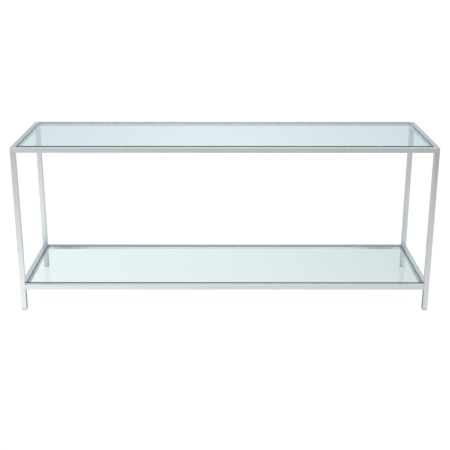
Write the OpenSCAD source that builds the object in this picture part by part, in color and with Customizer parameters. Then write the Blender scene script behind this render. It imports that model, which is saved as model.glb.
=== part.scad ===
// Console table: a slim welded frame of square metal tube that carries two loose glass panes.
// The origin is on the floor under the middle of the table. X runs along the length, Y from
// front to back and Z up. All lengths are in millimetres.

/* [Overall size] */
// Length over the outer faces of the frame
table_length = 1830; // [1200:10:2200]
// Depth over the outer faces of the frame
table_depth = 510; // [300:5:700]
// Height of the top frame's upper face above the floor
table_height = 755; // [600:5:950]
// Height of the shelf frame's upper face above the floor
shelf_height = 123; // [80:1:400]

/* [Frame tube] */
// Outside width of the square tube
tube_width = 22; // [18:1:30]
// Wall thickness of the tube
tube_wall = 1.5; // [1:0.1:2]
// Outside corner radius of the tube
tube_radius = 1.2; // [1:0.1:3]

/* [Glass] */
// Thickness of the panes
glass_thickness = 10; // [8:0.5:12]
// Clearance between a pane's edge and the rail beside it
glass_gap = 2.5; // [2:0.5:3]
// How far a pane's upper face stands above the frame's upper face
glass_rise = 2.5; // [1:0.5:3]
// Corner radius of a pane, seen from above
glass_corner = 3; // [2:0.5:5]
// Width of the bevel ground along a pane's edges
glass_arris = 0.6; // [0.3:0.1:1]

/* [Ledge and bumpers] */
// Width of the bar that each pane's edge rests over
ledge_width = 10; // [7:0.5:14]
// Diameter of the clear bumper pads between the ledges and a pane
bumper_diameter = 5; // [3:0.5:5]
// Height of the bumper pads
bumper_height = 2.5; // [1:0.5:3]
// Number of bumper pads along the front and along the back of a pane
bumpers_long = 5; // [3:1:9]
// Number of bumper pads along each end of a pane
bumpers_short = 2; // [1:1:4]

/* [Feet] */
// Height of the foot cap below the tube's end
foot_height = 6; // [4:0.5:10]
// Depth of the foot cap's plug inside the leg
plug_depth = 18; // [12:1:30]
// Thickness of each grip fin on the plug
plug_fin = 1.2; // [1:0.1:2]

/* [Hidden] */

$fn = 48;

metal_colour = "#c3c7c9";
ledge_colour = "#b4babd";
bumper_colour = "#dfe5e2";
glass_colour = "#cfe6e4b0";
foot_colour = "#b9bdbd";

// The clear opening between the rails
opening_length = table_length - 2 * tube_width;
opening_depth = table_depth - 2 * tube_width;

// The panes, with their clearance to the rails all round
pane_length = opening_length - 2 * glass_gap;
pane_depth = opening_depth - 2 * glass_gap;

// Levels below a frame's upper face, and the ledge that fills the space down to the underside
pane_base_drop = glass_thickness - glass_rise;
ledge_top_drop = pane_base_drop + bumper_height;
ledge_height = tube_width - ledge_top_drop;

// Distance from the middle of the table to the middle of the tubes
tube_x = (table_length - tube_width) / 2;
tube_y = (table_depth - tube_width) / 2;

// Distance from the middle of the table to the middle of the ledges
ledge_x = (opening_length - ledge_width) / 2;
ledge_y = (opening_depth - ledge_width) / 2;

// The bumper pads sit on the ledges, flush with the ledges' inner edges
bumper_inset = ledge_width - bumper_diameter / 2;
bumper_x = opening_length / 2 - bumper_inset;
bumper_y = opening_depth / 2 - bumper_inset;

// The legs reach from the foot caps to the underside of the top frame
leg_length = table_height - tube_width - foot_height;

// The inside of the tube
tube_bore = tube_width - 2 * tube_wall;
bore_radius = tube_radius / 2;

// The foot cap's plug, with its grip fins just clear of the tube's bore
plug_clearance = 0.1;
plug_width = tube_bore - 2 * plug_clearance;
fin_reach = 2;
plug_core = plug_width - 2 * fin_reach;
fin_count = 3;
foot_corner = 2.5;
foot_ease = 1.5;

// How far a cutting shape reaches past what it cuts
cut_margin = 1;

// ---- Shared shapes ----

// A rectangle with round corners, centred on the origin
module rounded_rectangle(length, width, radius) {
  square([length - 2 * radius, width], center = true);
  square([length, width - 2 * radius], center = true);
  for (x = [-1, 1], y = [-1, 1])
    translate([x * (length / 2 - radius), y * (width / 2 - radius)])
      circle(radius);
}

// The tube's cross-section: a square ring with round corners inside and out
module tube_section() {
  difference() {
    rounded_rectangle(tube_width, tube_width, tube_radius);
    rounded_rectangle(tube_bore, tube_bore, bore_radius);
  }
}

// A straight tube along X, centred on the origin
module tube_along_x(length)
  rotate([90, 0, 90])
    linear_extrude(length, center = true)
      tube_section();

// A plain bar along X, centred across X and Y, with its top at the given level
module bar_along_x(length, width, height, top)
  translate([-length / 2, -width / 2, top - height])
    cube([length, width, height]);

// A rectangle with its four corners cut off at 45 degrees, centred on the origin
module bevelled_rectangle(length, width, bevel)
  polygon([
    [-length / 2 + bevel, -width / 2], [length / 2 - bevel, -width / 2],
    [length / 2, -width / 2 + bevel], [length / 2, width / 2 - bevel],
    [length / 2 - bevel, width / 2], [-length / 2 + bevel, width / 2],
    [-length / 2, width / 2 - bevel], [-length / 2, -width / 2 + bevel]
  ]);

// A flat block centred across X and Y, standing on Z = 0, with bevelled upper and lower edges
module bevelled_block(length, width, height, corner, bevel)
  intersection() {
    linear_extrude(height)
      rounded_rectangle(length, width, corner);
    translate([0, 0, height / 2])
      rotate([90, 0, 0])
        linear_extrude(width + cut_margin, center = true)
          bevelled_rectangle(length, height, bevel);
    translate([0, 0, height / 2])
      rotate([90, 0, 90])
        linear_extrude(length + cut_margin, center = true)
          bevelled_rectangle(width, height, bevel);
  }

// ---- Places ----

// Turns a shape made for the front side to another side: 0 front, 1 right, 2 back, 3 left
module on_side(side, x, y)
  translate([
    side == 1 ? x : side == 3 ? -x : 0,
    side == 0 ? -y : side == 2 ? y : 0, 0
  ])
    rotate([0, 0, 90 * side])
      children();

// The place of item i of count items, each in the middle of its equal share of a length
function spread(i, count, length) = ((i - 0.5) / count - 0.5) * length;

// Puts a shape on the leg at a corner: x is -1 left or 1 right, y is -1 front or 1 back
module at_corner(x, y)
  translate([x * tube_x, y * tube_y, 0])
    children();

FRONT = 0;
RIGHT = 1;
BACK = 2;
LEFT = 3;

// ---- Sub-parts ----

// A rail of the top frame, mitred at both ends, with the frame's corners rounded over
module top_rail(side) {
  length = side % 2 == 0 ? table_length : table_depth;
  color(metal_colour)
    on_side(side, tube_x, tube_y)
      translate([0, 0, table_height - tube_width / 2])
        intersection() {
          tube_along_x(length);
          // The mitres, and the frame's upright corners where two rails meet
          linear_extrude(tube_width + cut_margin, center = true)
            intersection() {
              polygon([
                [-length / 2, -tube_width / 2], [length / 2, -tube_width / 2],
                [length / 2 - tube_width, tube_width / 2],
                [-length / 2 + tube_width, tube_width / 2]
              ]);
              translate([0, tube_width])
                rounded_rectangle(length, 3 * tube_width, tube_radius);
            }
        }
}

// A rail of the shelf frame, cut square and welded between two legs
module shelf_rail(side)
  color(metal_colour)
    on_side(side, tube_x, tube_y)
      translate([0, 0, shelf_height - tube_width / 2])
        tube_along_x(side % 2 == 0 ? opening_length : opening_depth);

// A leg, from its foot cap to the underside of the top frame
module leg(x, y)
  color(metal_colour)
    at_corner(x, y)
      translate([0, 0, foot_height])
        linear_extrude(leg_length)
          tube_section();

// A bar inside a rail, flush with the rail's underside, that carries the glass
module ledge(side, frame_height)
  color(ledge_colour)
    on_side(side, ledge_x, ledge_y)
      bar_along_x(
        side % 2 == 0 ? opening_length : opening_depth - 2 * ledge_width,
        ledge_width, ledge_height, frame_height - ledge_top_drop
      );

// Clear bumper pads on the four ledges of a frame, evenly spaced along each side
module bumpers(frame_height)
  color(bumper_colour)
    translate([0, 0, frame_height - ledge_top_drop]) {
      for (y = [-bumper_y, bumper_y], i = [1 : bumpers_long])
        translate([spread(i, bumpers_long, opening_length), y, 0])
          cylinder(h = bumper_height, d = bumper_diameter);
      for (x = [-bumper_x, bumper_x], i = [1 : bumpers_short])
        translate([x, spread(i, bumpers_short, opening_depth), 0])
          cylinder(h = bumper_height, d = bumper_diameter);
    }

// A glass pane with bevelled edges, resting on the bumper pads
module pane(frame_height)
  color(glass_colour)
    translate([0, 0, frame_height - pane_base_drop])
      bevelled_block(pane_length, pane_depth, glass_thickness, glass_corner, glass_arris);

// A plastic cap under a leg: a bevelled base with a finned plug inside the tube
module foot(x, y)
  color(foot_colour)
    at_corner(x, y) {
      bevelled_block(tube_width, tube_width, foot_height, foot_corner, foot_ease);
      // The plug's core starts inside the base, which makes the two one solid
      translate([-plug_core / 2, -plug_core / 2, foot_height / 2])
        cube([plug_core, plug_core, plug_depth + foot_height / 2]);
      for (fin = [1 : fin_count])
        translate([0, 0, foot_height + fin * plug_depth / (fin_count + 1) - plug_fin / 2])
          linear_extrude(plug_fin)
            rounded_rectangle(plug_width, plug_width, bore_radius);
    }

module top_front_rail() { top_rail(FRONT); }
module top_back_rail() { top_rail(BACK); }
module top_left_rail() { top_rail(LEFT); }
module top_right_rail() { top_rail(RIGHT); }
module shelf_front_rail() { shelf_rail(FRONT); }
module shelf_back_rail() { shelf_rail(BACK); }
module shelf_left_rail() { shelf_rail(LEFT); }
module shelf_right_rail() { shelf_rail(RIGHT); }
module front_left_leg() { leg(-1, -1); }
module front_right_leg() { leg(1, -1); }
module back_left_leg() { leg(-1, 1); }
module back_right_leg() { leg(1, 1); }
module top_front_ledge() { ledge(FRONT, table_height); }
module top_back_ledge() { ledge(BACK, table_height); }
module top_left_ledge() { ledge(LEFT, table_height); }
module top_right_ledge() { ledge(RIGHT, table_height); }
module shelf_front_ledge() { ledge(FRONT, shelf_height); }
module shelf_back_ledge() { ledge(BACK, shelf_height); }
module shelf_left_ledge() { ledge(LEFT, shelf_height); }
module shelf_right_ledge() { ledge(RIGHT, shelf_height); }
module top_bumpers() { bumpers(table_height); }
module shelf_bumpers() { bumpers(shelf_height); }
module top_glass() { pane(table_height); }
module shelf_glass() { pane(shelf_height); }
module front_left_foot() { foot(-1, -1); }
module front_right_foot() { foot(1, -1); }
module back_left_foot() { foot(-1, 1); }
module back_right_foot() { foot(1, 1); }

top_front_rail();
top_back_rail();
top_left_rail();
top_right_rail();
shelf_front_rail();
shelf_back_rail();
shelf_left_rail();
shelf_right_rail();
front_left_leg();
front_right_leg();
back_left_leg();
back_right_leg();
top_front_ledge();
top_back_ledge();
top_left_ledge();
top_right_ledge();
shelf_front_ledge();
shelf_back_ledge();
shelf_left_ledge();
shelf_right_ledge();
top_bumpers();
shelf_bumpers();
top_glass();
shelf_glass();
front_left_foot();
front_right_foot();
back_left_foot();
back_right_foot();
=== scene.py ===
"""Console table: a satin metal frame with loose glass panes, in a plain white studio."""
import math

import bmesh
import bpy
from mathutils import Euler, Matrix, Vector


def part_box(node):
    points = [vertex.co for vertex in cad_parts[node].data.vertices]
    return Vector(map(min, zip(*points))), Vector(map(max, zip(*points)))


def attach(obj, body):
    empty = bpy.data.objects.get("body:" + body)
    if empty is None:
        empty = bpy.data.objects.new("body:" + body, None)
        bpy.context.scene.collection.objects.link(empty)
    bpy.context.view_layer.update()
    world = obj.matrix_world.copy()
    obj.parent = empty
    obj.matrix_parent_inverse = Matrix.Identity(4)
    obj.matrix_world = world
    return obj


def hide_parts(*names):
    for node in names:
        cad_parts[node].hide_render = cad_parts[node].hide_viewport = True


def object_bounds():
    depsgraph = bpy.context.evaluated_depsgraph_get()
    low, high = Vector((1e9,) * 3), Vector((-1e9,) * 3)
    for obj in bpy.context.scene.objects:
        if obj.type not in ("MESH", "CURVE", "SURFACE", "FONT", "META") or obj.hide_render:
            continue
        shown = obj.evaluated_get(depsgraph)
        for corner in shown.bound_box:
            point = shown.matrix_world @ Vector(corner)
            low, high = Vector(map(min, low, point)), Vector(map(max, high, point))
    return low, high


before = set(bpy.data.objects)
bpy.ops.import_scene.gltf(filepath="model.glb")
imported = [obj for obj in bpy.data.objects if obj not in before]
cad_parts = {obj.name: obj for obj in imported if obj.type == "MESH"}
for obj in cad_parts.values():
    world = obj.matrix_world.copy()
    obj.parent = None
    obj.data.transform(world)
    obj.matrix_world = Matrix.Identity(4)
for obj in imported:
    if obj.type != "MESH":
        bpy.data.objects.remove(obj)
cad_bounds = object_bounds()
highest = Vector(cad_bounds[1])

MM = 0.001
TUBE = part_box("front_left_leg")[1].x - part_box("front_left_leg")[0].x
TABLE_HALF_LENGTH = highest.x
TABLE_HALF_DEPTH = highest.y

WHITE = (1, 1, 1, 1)
EVEN = (1, 1, 1)

# How squarely a flat face looks along an axis, and how squarely a bevel or a rounded edge does
FLAT_FACING = 0.97
BEVEL_FACING = 0.75

SEAM_CORE = 0.05 * MM
SEAM_REACH = 0.25 * MM
GRAIN_LOW, GRAIN_HIGH = 0.35, 0.65
LOW_PATCH_HEIGHT = 2.5 * MM

PAD_RADIUS = 2.5 * MM
PAD_SIDES = 32
# How far out and how far up a pad's outline runs, as parts of its radius and its height
PAD_OUTLINE = [(0.90, 0.0), (0.98, 0.04), (1.0, 0.12), (0.99, 0.30), (0.94, 0.52),
               (0.84, 0.72), (0.70, 0.88), (0.55, 0.97), (0.42, 1.0)]


# ---- Node helpers ----

def new_material(name):
    """A material with an empty tree, and its tree."""
    material = bpy.data.materials.new(name)
    material.use_nodes = True
    tree = material.node_tree
    tree.nodes.clear()
    return material, tree


def add(tree, kind, inputs=None, **settings):
    """A node of this kind, with its settings. An input is a number, a colour or a node's output."""
    node = tree.nodes.new(kind)
    for key, value in settings.items():
        setattr(node, key, value)
    for key, value in (inputs or {}).items():
        socket = node.inputs[key]
        if isinstance(value, bpy.types.NodeSocket):
            tree.links.new(value, socket)
        else:
            socket.default_value = value
    return node


def math_node(tree, operation, a, b=0.0):
    """One step of arithmetic on one or two values."""
    return add(tree, "ShaderNodeMath", {0: a, 1: b}, operation=operation).outputs[0]


def mix_colour(tree, factor, a, b, blend="MIX"):
    """Colour a where factor is 0, and b where it is 1."""
    node = add(tree, "ShaderNodeMix", {0: factor, 6: a, 7: b}, data_type="RGBA", blend_type=blend)
    return node.outputs[2]


def remap(tree, value, low, high, to_low, to_high):
    """value between low and high, mapped to a range and held inside it."""
    inputs = {0: value, 1: low, 2: high, 3: to_low, 4: to_high}
    return add(tree, "ShaderNodeMapRange", inputs).outputs[0]


def noise(tree, vector, scale, detail=3.0, roughness=0.5):
    """Smooth noise from 0 to 1, with about scale features in each unit of the vector."""
    inputs = {"Vector": vector, "Scale": scale, "Detail": detail, "Roughness": roughness}
    return add(tree, "ShaderNodeTexNoise", inputs).outputs["Fac"]


def stretched(tree, scale):
    """Object coordinates in metres, stretched by a scale for each axis."""
    coordinates = add(tree, "ShaderNodeTexCoord").outputs["Object"]
    return add(tree, "ShaderNodeMapping", {"Vector": coordinates, "Scale": scale}).outputs["Vector"]


# ---- Materials ----

def rounded_edge(tree):
    """1 on a rounded or bevelled edge, where the surface faces between the axes, and 0 on a flat face."""
    normal = add(tree, "ShaderNodeNewGeometry").outputs["Normal"]
    parts = add(tree, "ShaderNodeSeparateXYZ", {0: normal})
    sizes = [math_node(tree, "ABSOLUTE", parts.outputs[axis]) for axis in "XYZ"]
    largest = math_node(tree, "MAXIMUM", math_node(tree, "MAXIMUM", sizes[0], sizes[1]), sizes[2])
    return remap(tree, largest, FLAT_FACING, BEVEL_FACING, 0.0, 1.0)


def pane_edge_ground_and_shade(tree):
    """1 on a pane's upright edges and bevels, less on its back edge, and 0 on its large faces: where the
    edges are finished by grinding, and where painted shade darkens them.
    """
    normal = add(tree, "ShaderNodeNewGeometry").outputs["Normal"]
    parts = add(tree, "ShaderNodeSeparateXYZ", {0: normal})
    rise = math_node(tree, "ABSOLUTE", parts.outputs["Z"])
    edge = remap(tree, rise, BEVEL_FACING, FLAT_FACING, 1.0, 0.0)
    # painted shade: the back edge gets less of it, so it looks lighter
    lighter_back_edge = remap(tree, parts.outputs["Y"], 0.2, 0.6, 1.0, 0.35)
    return math_node(tree, "MULTIPLY", edge, lighter_back_edge)


def mitre_seam(tree):
    """1 on the 45-degree lines where the top frame's rails meet, and 0 from 0.25 mm away."""
    coordinates = add(tree, "ShaderNodeTexCoord").outputs["Object"]
    parts = add(tree, "ShaderNodeSeparateXYZ", {0: coordinates})
    out_x = math_node(tree, "ABSOLUTE", parts.outputs["X"])
    out_y = math_node(tree, "ABSOLUTE", parts.outputs["Y"])
    from_end = math_node(tree, "SUBTRACT", TABLE_HALF_LENGTH, out_x)
    from_side = math_node(tree, "SUBTRACT", TABLE_HALF_DEPTH, out_y)
    distance = math_node(tree, "ABSOLUTE", math_node(tree, "SUBTRACT", from_end, from_side))
    return remap(tree, distance, SEAM_CORE, SEAM_REACH, 1.0, 0.0)


def across_grain(tree, axis):
    """The direction in the surface that crosses a grain along this axis, where brushing scatters most."""
    grain = [0.0, 0.0, 0.0]
    grain[axis] = 1.0
    normal = add(tree, "ShaderNodeNewGeometry").outputs["Normal"]
    cross = add(tree, "ShaderNodeVectorMath", {0: normal, 1: grain}, operation="CROSS_PRODUCT")
    return cross.outputs["Vector"]


def satin_metal(name, axis, mitred=False):
    """Satin metal: grain along one axis, a few long scratches, hand marks, and edges polished by use."""
    material, tree = new_material(name)

    def along(across_scale, along_scale):
        scale = [across_scale] * 3
        scale[axis] = along_scale
        return stretched(tree, scale)

    fine_grain = noise(tree, along(3200.0, 14.0), 1.0, 2.0)
    coarse_grain = noise(tree, along(700.0, 5.0), 1.0, 3.0)
    grain = math_node(tree, "ADD", math_node(tree, "MULTIPLY", fine_grain, 0.6),
                      math_node(tree, "MULTIPLY", coarse_grain, 0.4))
    scratches = remap(tree, noise(tree, along(420.0, 9.0), 1.0, 1.0), 0.70, 0.76, 0.0, 1.0)
    cloud = noise(tree, stretched(tree, EVEN), 9.0, 4.0, 0.6)
    hand_marks = noise(tree, stretched(tree, EVEN), 26.0, 5.0, 0.65)
    hand_marks = remap(tree, hand_marks, 0.56, 0.72, 0.0, 1.0)
    edge = rounded_edge(tree)

    tone = mix_colour(tree, cloud, (0.752, 0.760, 0.766, 1), (0.780, 0.790, 0.798, 1))
    grooves = remap(tree, grain, GRAIN_LOW, GRAIN_HIGH, 0.14, 0.0)
    tone = mix_colour(tree, grooves, tone, (0.62, 0.63, 0.635, 1))
    tone = mix_colour(tree, math_node(tree, "MULTIPLY", scratches, 0.25), tone, (0.88, 0.88, 0.88, 1))
    tone = mix_colour(tree, math_node(tree, "MULTIPLY", edge, 0.35), tone, (0.86, 0.86, 0.86, 1))

    rough = remap(tree, cloud, 0.3, 0.7, 0.27, 0.295)
    rough = math_node(tree, "ADD", rough, remap(tree, grain, GRAIN_LOW, GRAIN_HIGH, -0.03, 0.04))
    rough = math_node(tree, "ADD", rough, math_node(tree, "MULTIPLY", hand_marks, 0.03))
    rough = math_node(tree, "SUBTRACT", rough, math_node(tree, "MULTIPLY", edge, 0.06))

    height = math_node(tree, "SUBTRACT", grain, math_node(tree, "MULTIPLY", scratches, 0.5))
    if mitred:
        seam = mitre_seam(tree)
        tone = mix_colour(tree, math_node(tree, "MULTIPLY", seam, 0.7), tone, (0.30, 0.31, 0.32, 1))
        rough = math_node(tree, "ADD", rough, math_node(tree, "MULTIPLY", seam, 0.15))
        height = math_node(tree, "SUBTRACT", height, math_node(tree, "MULTIPLY", seam, 2.0))
    bump = add(tree, "ShaderNodeBump", {"Strength": 0.18, "Distance": 0.04 * MM, "Height": height})
    shader = add(tree, "ShaderNodeBsdfPrincipled", {
        "Base Color": tone, "Metallic": 1.0, "Roughness": rough, "Anisotropic": 0.7,
        "Normal": bump.outputs[0], "Tangent": across_grain(tree, axis)})
    add(tree, "ShaderNodeOutputMaterial", {"Surface": shader.outputs[0]})
    return material


def weld_metal():
    """The same metal over a hand-ground weld, which stays rougher and a little darker."""
    material, tree = new_material("ground_weld")
    lumps = noise(tree, stretched(tree, EVEN), 650.0, 4.0, 0.6)
    speckle = noise(tree, stretched(tree, EVEN), 2400.0, 2.0)
    tone = mix_colour(tree, lumps, (0.56, 0.565, 0.57, 1), (0.74, 0.745, 0.75, 1))
    rough = remap(tree, speckle, 0.3, 0.7, 0.30, 0.44)
    bump = add(tree, "ShaderNodeBump", {"Strength": 0.4, "Distance": 0.1 * MM, "Height": lumps})
    shader = add(tree, "ShaderNodeBsdfPrincipled", {
        "Base Color": tone, "Metallic": 1.0, "Roughness": rough, "Normal": bump.outputs[0]})
    add(tree, "ShaderNodeOutputMaterial", {"Surface": shader.outputs[0]})
    return material


def float_glass():
    """Clear float glass with a green cast, faint wiping smears, and edges finished by grinding, darkened by
    painted shade to a near-black green, less on the back edge.
    """
    material, tree = new_material("clear_float_glass")
    smear = noise(tree, stretched(tree, (2.0, 7.0, 7.0)), 4.0, 6.0, 0.65)
    specks = noise(tree, stretched(tree, EVEN), 420.0, 1.0)
    specks = remap(tree, specks, 0.78, 0.84, 0.0, 1.0)
    rough = remap(tree, smear, 0.52, 0.80, 0.0, 0.025)
    rough = math_node(tree, "ADD", rough, math_node(tree, "MULTIPLY", specks, 0.06))
    ground_edge_and_shade = pane_edge_ground_and_shade(tree)
    rough = math_node(tree, "ADD", rough, math_node(tree, "MULTIPLY", ground_edge_and_shade, 0.25))
    # painted shade: the edges are tinted near-black green and lose most of their transmission, less on the
    # back edge
    edge_tint_and_shade = mix_colour(tree, ground_edge_and_shade, WHITE, (0.02, 0.075, 0.068, 1))
    clear = math_node(tree, "SUBTRACT", 1.0, math_node(tree, "MULTIPLY", ground_edge_and_shade, 0.93))
    grind = noise(tree, stretched(tree, EVEN), 2200.0, 2.0)
    height = math_node(tree, "MULTIPLY", grind, ground_edge_and_shade)
    bump = add(tree, "ShaderNodeBump", {"Strength": 0.25, "Distance": 0.05 * MM, "Height": height})
    shader = add(tree, "ShaderNodeBsdfPrincipled", {
        "Base Color": edge_tint_and_shade, "Roughness": rough, "IOR": 1.52, "Transmission Weight": clear,
        "Normal": bump.outputs[0]})
    volume = add(tree, "ShaderNodeVolumeAbsorption", {
        "Color": (0.40, 0.78, 0.76, 1), "Density": 16.0})
    add(tree, "ShaderNodeOutputMaterial", {
        "Surface": shader.outputs[0], "Volume": volume.outputs[0]})
    return material


def clear_rubber():
    """Soft clear polyurethane, cloudy inside, with a skin of fine dust."""
    material, tree = new_material("clear_bumper_rubber")
    cloud = noise(tree, stretched(tree, EVEN), 500.0, 3.0)
    dust = noise(tree, stretched(tree, EVEN), 2600.0, 2.0)
    tone = mix_colour(tree, cloud, (0.86, 0.90, 0.89, 1), (0.95, 0.97, 0.96, 1))
    rough = remap(tree, dust, 0.35, 0.7, 0.12, 0.35)
    bump = add(tree, "ShaderNodeBump", {"Strength": 0.15, "Distance": 0.05 * MM, "Height": dust})
    shader = add(tree, "ShaderNodeBsdfPrincipled", {
        "Base Color": tone, "Roughness": rough, "IOR": 1.49, "Transmission Weight": 0.7,
        "Normal": bump.outputs[0]})
    add(tree, "ShaderNodeOutputMaterial", {"Surface": shader.outputs[0]})
    return material


def foot_plastic():
    """Grey moulded plastic with a spark-eroded texture, darker and rougher in patches along its lowest 2.5
    mm.
    """
    material, tree = new_material("foot_cap_plastic")
    texture = noise(tree, stretched(tree, EVEN), 2800.0, 3.0, 0.6)
    mottle = noise(tree, stretched(tree, EVEN), 220.0, 3.0)
    coordinates = add(tree, "ShaderNodeTexCoord").outputs["Object"]
    level = add(tree, "ShaderNodeSeparateXYZ", {0: coordinates}).outputs["Z"]
    low = remap(tree, level, 0.0, LOW_PATCH_HEIGHT, 1.0, 0.0)
    # darker, rougher patches along the bottom, where the cap meets the floor
    low_patches = noise(tree, stretched(tree, (1, 1, 0.3)), 900.0, 3.0)
    low_patches = remap(tree, low_patches, 0.48, 0.62, 0.0, 1.0)
    low_patches = math_node(tree, "MULTIPLY", low_patches, low)
    tone = mix_colour(tree, mottle, (0.54, 0.56, 0.565, 1), (0.61, 0.625, 0.63, 1))
    tone = mix_colour(tree, math_node(tree, "MULTIPLY", low_patches, 0.6), tone, (0.46, 0.46, 0.45, 1))
    rough = math_node(tree, "ADD", remap(tree, texture, 0.35, 0.65, 0.38, 0.50),
                      math_node(tree, "MULTIPLY", low_patches, 0.2))
    bump = add(tree, "ShaderNodeBump", {"Strength": 0.5, "Distance": 0.08 * MM, "Height": texture})
    shader = add(tree, "ShaderNodeBsdfPrincipled", {
        "Base Color": tone, "Roughness": rough, "Normal": bump.outputs[0]})
    add(tree, "ShaderNodeOutputMaterial", {"Surface": shader.outputs[0]})
    return material


metals = [satin_metal(f"satin_metal_{name}", axis) for axis, name in enumerate("xyz")]
mitred_metals = [satin_metal(f"satin_metal_mitred_{name}", axis, mitred=True)
                 for axis, name in enumerate("xy")]
weld = weld_metal()
glass = float_glass()
bumper = clear_rubber()
plastic = foot_plastic()


def wear(obj, material):
    """Puts one material in every slot of an object."""
    for slot in obj.material_slots:
        slot.material = material


for name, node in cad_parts.items():
    low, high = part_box(name)
    size = high - low
    grain_axis = max(range(3), key=lambda axis: size[axis])
    if name.endswith("_glass"):
        wear(node, glass)
    elif name.endswith("_bumpers"):
        wear(node, bumper)
    elif name.endswith("_foot"):
        wear(node, plastic)
    elif name.startswith("top_") and name.endswith("_rail"):
        wear(node, mitred_metals[grain_axis])
    else:
        wear(node, metals[grain_axis])


# ---- Mesh helpers ----

def smooth_piece(name, mesh, material):
    """A piece on the frame's body, made from a bmesh, with smooth shading."""
    bmesh.ops.recalc_face_normals(mesh, faces=mesh.faces)
    data = bpy.data.meshes.new(name)
    mesh.to_mesh(data)
    mesh.free()
    for face in data.polygons:
        face.use_smooth = True
    data.materials.append(material)
    piece = bpy.data.objects.new(name, data)
    bpy.context.scene.collection.objects.link(piece)
    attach(piece, "frame")
    return piece


def loft(mesh, rings):
    """Joins closed rings of points, with the same number in each, and caps the first and the last."""
    rings = [[mesh.verts.new(point) for point in ring] for ring in rings]
    for first, second in zip(rings, rings[1:]):
        for i in range(len(first)):
            j = (i + 1) % len(first)
            mesh.faces.new((first[i], first[j], second[j], second[i]))
    mesh.faces.new(rings[0])
    mesh.faces.new(reversed(rings[-1]))


# ---- Welds ----

WELD_PITCH = 1.6 * MM
WELD_SINK = 0.15 * MM
WELD_TAPER = 2 * MM
WELD_RIPPLE = 0.07
FILLET_LEG = 1.4 * MM
FILLET_STEPS = 40
FILLET_ARC = [i * math.pi / 12 for i in range(7)]
TACK_LENGTH = 14 * MM
TACK_WIDTH = 4.4 * MM
TACK_HEIGHT = 0.7 * MM
TACK_STEPS = 32
TACK_TURNS = [i * math.pi / 6 for i in range(12)]
TACKS_LONG = 7
TACKS_SHORT = 3


def weld_swell(distance, length):
    """How full a weld is at a distance along it: its ripples, drawn in at each end."""
    end = min(distance, length - distance) / WELD_TAPER
    taper = math.sqrt(max(0.04, 1 - (1 - min(end, 1)) ** 2))
    return taper * (1 + WELD_RIPPLE * math.sin(2 * math.pi * distance / WELD_PITCH))


def weld_fillet(mesh, middle, along, side_a, side_b, length, size):
    """A hollow fillet weld in the corner between two faces that lie along side_a and side_b."""
    rings = []
    for step in range(FILLET_STEPS + 1):
        distance = length * step / FILLET_STEPS
        leg = size * weld_swell(distance, length)
        spot = middle + along * (distance - length / 2)
        ring = [spot - (side_a + side_b) * WELD_SINK, spot + side_a * leg - side_b * WELD_SINK]
        ring += [spot + side_a * leg * (1 - math.sin(a)) + side_b * leg * (1 - math.cos(a))
                 for a in FILLET_ARC]
        ring.append(spot + side_b * leg - side_a * WELD_SINK)
        rings.append(ring)
    loft(mesh, rings)


def weld_tack(mesh, middle, along, across, up, length, width, height):
    """A short rippled bead, half sunk in the seam between two bars."""
    rings = []
    for step in range(TACK_STEPS + 1):
        distance = length * step / TACK_STEPS
        swell = weld_swell(distance, length)
        spot = middle + along * (distance - length / 2)
        rings.append([spot + across * width / 2 * swell * math.cos(a)
                      + up * height * swell * math.sin(a) for a in TACK_TURNS])
    loft(mesh, rings)


def joint_welds():
    """Fillets in the corners between each leg and the rails that meet it."""
    mesh = bmesh.new()
    flat = 0.8 * TUBE
    shelf_low, shelf_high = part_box("shelf_front_rail")
    top_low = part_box("top_front_rail")[0]
    levels = [(shelf_high.z, 1), (shelf_low.z, -1), (top_low.z, -1)]
    for leg in ("front_left_leg", "front_right_leg", "back_left_leg", "back_right_leg"):
        low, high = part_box(leg)
        centre = (low + high) / 2
        for axis, other in ((0, 1), (1, 0)):
            inward = Vector((0, 0, 0))
            inward[axis] = -math.copysign(1, centre[axis])
            along = Vector((0, 0, 0))
            along[other] = 1
            for level, up in levels:
                corner = Vector((centre.x, centre.y, level)) + inward * TUBE / 2
                weld_fillet(mesh, corner, along, inward, Vector((0, 0, up)), flat, FILLET_LEG)
    smooth_piece("joint_welds", mesh, weld)


def ledge_welds():
    """Tacks along the seam under each ledge, where it meets its rail."""
    mesh = bmesh.new()
    down = Vector((0, 0, -1))
    sides = [("front", 0, TACKS_LONG), ("back", 0, TACKS_LONG),
             ("left", 1, TACKS_SHORT), ("right", 1, TACKS_SHORT)]
    for level in ("top", "shelf"):
        for side, axis, count in sides:
            low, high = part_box(f"{level}_{side}_ledge")
            other = 1 - axis
            outward = Vector((0, 0, 0))
            outward[other] = math.copysign(1, low[other])
            seam = (low + high) / 2
            seam[other] = high[other] if outward[other] > 0 else low[other]
            seam.z = low.z
            along = Vector((0, 0, 0))
            along[axis] = 1
            for i in range(count):
                spot = seam + along * (high[axis] - low[axis]) * ((i + 0.5) / count - 0.5)
                weld_tack(mesh, spot, along, outward, down, TACK_LENGTH, TACK_WIDTH, TACK_HEIGHT)
    smooth_piece("ledge_welds", mesh, weld)


# ---- Bumper pads ----

def island_centres(obj):
    """The middle of each separate solid in an object's mesh."""
    mesh = bmesh.new()
    mesh.from_mesh(obj.data)
    bmesh.ops.remove_doubles(mesh, verts=mesh.verts, dist=0.01 * MM)
    left = set(mesh.verts)
    centres = []
    while left:
        island = [left.pop()]
        for vert in island:
            for edge in vert.link_edges:
                neighbour = edge.other_vert(vert)
                if neighbour in left:
                    left.remove(neighbour)
                    island.append(neighbour)
        spans = [(min(v.co[axis] for v in island), max(v.co[axis] for v in island)) for axis in range(3)]
        centres.append(Vector([sum(span) / 2 for span in spans]))
    mesh.free()
    return sorted(centres, key=tuple)


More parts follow.
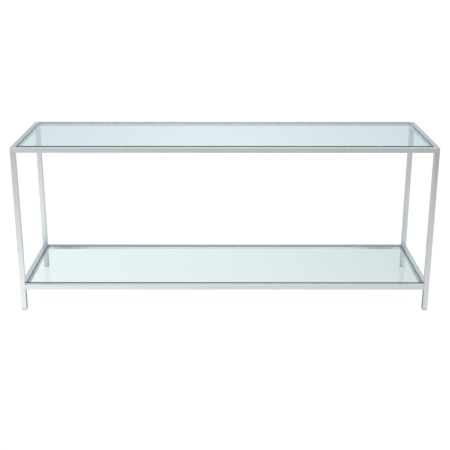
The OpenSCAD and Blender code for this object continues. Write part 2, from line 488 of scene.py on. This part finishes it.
def bumper_pads(node):
    """Domed pads, a little flattened on top by the pane's weight, in the places of the plain ones."""
    low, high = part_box(node)
    height = high.z - low.z
    turns = [2 * math.pi * i / PAD_SIDES for i in range(PAD_SIDES)]
    mesh = bmesh.new()
    for centre in island_centres(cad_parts[node]):
        rings = []
        for reach, rise in PAD_OUTLINE:
            radius = reach * PAD_RADIUS
            level = low.z + rise * height
            rings.append([(centre.x + radius * math.cos(a), centre.y + radius * math.sin(a), level)
                          for a in turns])
        loft(mesh, rings)
    piece = smooth_piece(f"{node}_domed", mesh, bumper)
    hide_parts(node)


joint_welds()
ledge_welds()
for node_name in ("top_bumpers", "shelf_bumpers"):
    bumper_pads(node_name)


# ---- Studio ----

FLOOR_SIZE = 80.0
FLOOR_GLOW = 0.94
FLOOR_DIFFUSE = (0.10, 0.10, 0.10, 1)

# What the floor looks like through the glass
THROUGH_UNDER = (0.945, 0.965, 0.97, 1)
THROUGH_BEYOND = (0.885, 0.89, 0.905, 1)

# What the floor looks like in the metal
MIRRORED_NEAR = (1.00, 1.04, 1.045, 1)
MIRRORED_FAR = (0.535, 0.515, 0.505, 1)
MIRRORED_FAR_LEFT = (0.74, 0.76, 0.77, 1)
MIRRORED_FAR_RIGHT = (0.40, 0.37, 0.345, 1)
MIRRORED_BEHIND = (0.63, 0.71, 0.75, 1)
MIRRORED_UNDER = (0.92, 0.98, 0.97, 1)
# painted shadow on the floor under the table, seen only in the legs' inner faces
MIRRORED_SHADOW_INSIDE_LEGS = (0.22, 0.28, 0.28, 1)

HORIZON_MIDDLE = (0.76, 0.86, 0.92, 1)
HORIZON_SIDES = (0.34, 0.42, 0.50, 1)
OVERHEAD = (1.18, 1.175, 1.17, 1)
SKY_THROUGH = (0.90, 0.94, 0.95, 1)

CAMERA_PLACE = (-0.0064, -TABLE_HALF_DEPTH - 3.388, 1.626)
CAMERA_DIP = 0.3026
CAMERA_TURN = 0.0012
LENS = 65.86
SENSOR_WIDTH = 36.0
SHIFT = (0.0061, -0.0778)
VIEW_REACH = 200.0


def within(tree, value, inside, outside):
    """1 where the size of a value is below inside, fading to 0 at outside."""
    return remap(tree, math_node(tree, "ABSOLUTE", value), inside, outside, 1.0, 0.0)


def dimmed(tree, colour, factor):
    """A colour times a factor."""
    grey = add(tree, "ShaderNodeCombineColor", {0: factor, 1: factor, 2: factor}).outputs[0]
    return mix_colour(tree, 1.0, colour, grey, "MULTIPLY")


def floor_through_glass(tree, x, y):
    """Pale below and near the table, a little greyer far behind it, and dimmer to the right."""
    under = dimmed(tree, THROUGH_UNDER, remap(tree, x, -1.0, 0.9, 1.04, 0.80))
    beyond = dimmed(tree, THROUGH_BEYOND, remap(tree, x, -0.3, 1.4, 1.0, 0.93))
    return mix_colour(tree, remap(tree, y, 0.8, 2.6, 0.0, 1.0), under, beyond)


def floor_in_metal(tree, x, y):
    """Bright just in front of the table, dim far in front, cool behind and pale below it, with a dark band
    of painted shadow just inside the legs at each end, which the legs' inner faces reflect."""
    left_fall = remap(tree, x, -1.0, 0.0, 1.12, 0.88)
    right_fall = remap(tree, x, 0.0, 1.0, 1.0, 0.92)
    near = dimmed(tree, MIRRORED_NEAR, math_node(tree, "MULTIPLY", left_fall, right_fall))
    far = mix_colour(tree, remap(tree, x, -2.0, -1.5, 1.0, 0.0), MIRRORED_FAR, MIRRORED_FAR_LEFT)
    far = mix_colour(tree, remap(tree, x, 1.5, 2.0, 0.0, 1.0), far, MIRRORED_FAR_RIGHT)
    floor = mix_colour(tree, remap(tree, y, -3.2, -0.5, 0.0, 1.0), far, near)
    floor = mix_colour(tree, remap(tree, y, -0.3, 0.0, 0.0, 1.0), floor, MIRRORED_BEHIND)

    along = within(tree, x, TABLE_HALF_LENGTH + 0.1, TABLE_HALF_LENGTH + 0.2)
    across = within(tree, y, TABLE_HALF_DEPTH - 0.03, TABLE_HALF_DEPTH + 0.02)
    under = math_node(tree, "MULTIPLY", along, across)
    floor = mix_colour(tree, under, floor, MIRRORED_UNDER)
    # painted shadow: the floor darkens just inside each end under the table, so the legs' inner faces
    # reflect shade
    out = math_node(tree, "ABSOLUTE", x)
    shadow_strip = math_node(tree, "MULTIPLY", remap(tree, out, 0.70, 0.80, 0.0, 1.0),
                      remap(tree, out, 0.89, 0.91, 1.0, 0.0))
    shadow_strip = math_node(tree, "MULTIPLY", shadow_strip, under)
    return mix_colour(tree, shadow_strip, floor, MIRRORED_SHADOW_INSIDE_LEGS)


def studio_floor():
    """A floor that the camera sees as plain white, and the glass and metal in the tones of a studio."""
    material, tree = new_material("studio_floor")
    coordinates = add(tree, "ShaderNodeTexCoord").outputs["Object"]
    parts = add(tree, "ShaderNodeSeparateXYZ", {0: coordinates})
    x, y = parts.outputs["X"], parts.outputs["Y"]
    rays = add(tree, "ShaderNodeLightPath")

    glow = add(tree, "ShaderNodeEmission", {"Color": WHITE, "Strength": FLOOR_GLOW})
    lit = add(tree, "ShaderNodeBsdfDiffuse", {"Color": FLOOR_DIFFUSE})
    seen = add(tree, "ShaderNodeAddShader", {0: glow.outputs[0], 1: lit.outputs[0]}).outputs[0]

    through = floor_through_glass(tree, x, y)
    mirrored = floor_in_metal(tree, x, y)
    tone = mix_colour(tree, rays.outputs["Is Transmission Ray"], mirrored, through)
    toned = add(tree, "ShaderNodeEmission", {"Color": tone, "Strength": 1.0}).outputs[0]
    both = add(tree, "ShaderNodeMixShader", {0: rays.outputs["Is Camera Ray"], 1: toned, 2: seen})
    add(tree, "ShaderNodeOutputMaterial", {"Surface": both.outputs[0]})
    bpy.ops.mesh.primitive_plane_add(size=FLOOR_SIZE, location=(0, 0, 0))
    floor = bpy.context.object
    floor.name = "studio_floor"
    floor.data.materials.append(material)


def studio_light():
    """A white overhead glow that fades to a cool grey towards the horizon, darker to the left and right.
    The camera sees it as plain white, and the glass lets through a pale tone."""
    world = bpy.data.worlds.new("studio")
    bpy.context.scene.world = world
    world.use_nodes = True
    tree = world.node_tree
    tree.nodes.clear()
    direction = add(tree, "ShaderNodeTexCoord").outputs["Generated"]
    parts = add(tree, "ShaderNodeSeparateXYZ", {0: direction})
    rays = add(tree, "ShaderNodeLightPath")
    aside = remap(tree, math_node(tree, "ABSOLUTE", parts.outputs["X"]), 0.04, 0.38, 0.0, 1.0)
    horizon = mix_colour(tree, aside, HORIZON_MIDDLE, HORIZON_SIDES)
    height = remap(tree, parts.outputs["Z"], 0.27, 0.75, 0.0, 1.0)
    colour = mix_colour(tree, height, horizon, OVERHEAD)
    colour = mix_colour(tree, rays.outputs["Is Transmission Ray"], colour, SKY_THROUGH)
    colour = mix_colour(tree, rays.outputs["Is Camera Ray"], colour, WHITE)
    background = add(tree, "ShaderNodeBackground", {"Color": colour, "Strength": 1.0})
    add(tree, "ShaderNodeOutputWorld", {"Surface": background.outputs[0]})


def photo_camera():
    """A view from the front, from above the top, looking down at it."""
    data = bpy.data.cameras.new("camera")
    camera = bpy.data.objects.new("camera", data)
    bpy.context.scene.collection.objects.link(camera)
    camera.location = CAMERA_PLACE
    camera.rotation_euler = Euler((math.pi / 2 - CAMERA_DIP, 0.0, CAMERA_TURN))
    data.lens = LENS
    data.sensor_width = SENSOR_WIDTH
    data.shift_x, data.shift_y = SHIFT
    data.clip_end = VIEW_REACH
    bpy.context.scene.camera = camera


studio_floor()
studio_light()
photo_camera()
bpy.context.scene.view_settings.view_transform = "Standard"
